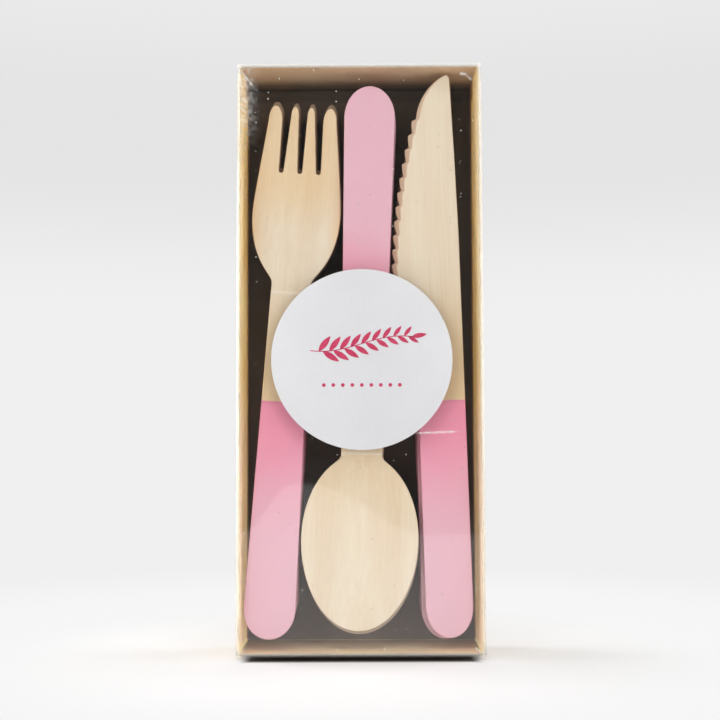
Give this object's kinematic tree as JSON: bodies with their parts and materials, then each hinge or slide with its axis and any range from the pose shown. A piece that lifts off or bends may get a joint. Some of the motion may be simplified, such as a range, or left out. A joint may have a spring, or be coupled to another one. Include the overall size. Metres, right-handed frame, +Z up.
{
  "type": "wooden cutlery pack",
  "caption": "Upright kraft tray of dipped wooden forks, spoons and serrated knives in nested stacks, closed by a clear film lid with a round paper label.",
  "frame": {"origin": "middle of the base that the pack stands on, which is the lid's lower skirt", "axes": "+Z up along the cutlery, -Y out through the clear face, +X to the right seen from the clear face"},
  "size_m": [0.072, 0.0268, 0.1731],
  "materials": {
    "kraft_board": "matte",
    "clear_film": "clear gloss",
    "label_paper": "satin",
    "dipped_wood": "bare veneer with a matte dipped end"
  },
  "bodies": {
    "tray": {"kraft_tray": "kraft_board", "fork_1": "dipped_wood", "fork_2": "dipped_wood", "fork_3": "dipped_wood", "fork_4": "dipped_wood", "fork_5": "dipped_wood", "fork_6": "dipped_wood", "fork_7": "dipped_wood", "fork_8": "dipped_wood", "spoon_1": "dipped_wood", "spoon_2": "dipped_wood", "spoon_3": "dipped_wood", "spoon_4": "dipped_wood", "spoon_5": "dipped_wood", "spoon_6": "dipped_wood", "spoon_7": "dipped_wood", "spoon_8": "dipped_wood", "knife_1": "dipped_wood", "knife_2": "dipped_wood", "knife_3": "dipped_wood", "knife_4": "dipped_wood", "knife_5": "dipped_wood", "knife_6": "dipped_wood", "knife_7": "dipped_wood", "knife_8": "dipped_wood"},
    "lid": {"clear_lid": "clear_film", "round_label": "label_paper"}
  },
  "joints": [
    {"name": "lid_slide", "type": "slide", "parent": "tray", "child": "lid", "axis": [0, -1, 0], "range_m": [0, 0.03]}
  ]
}
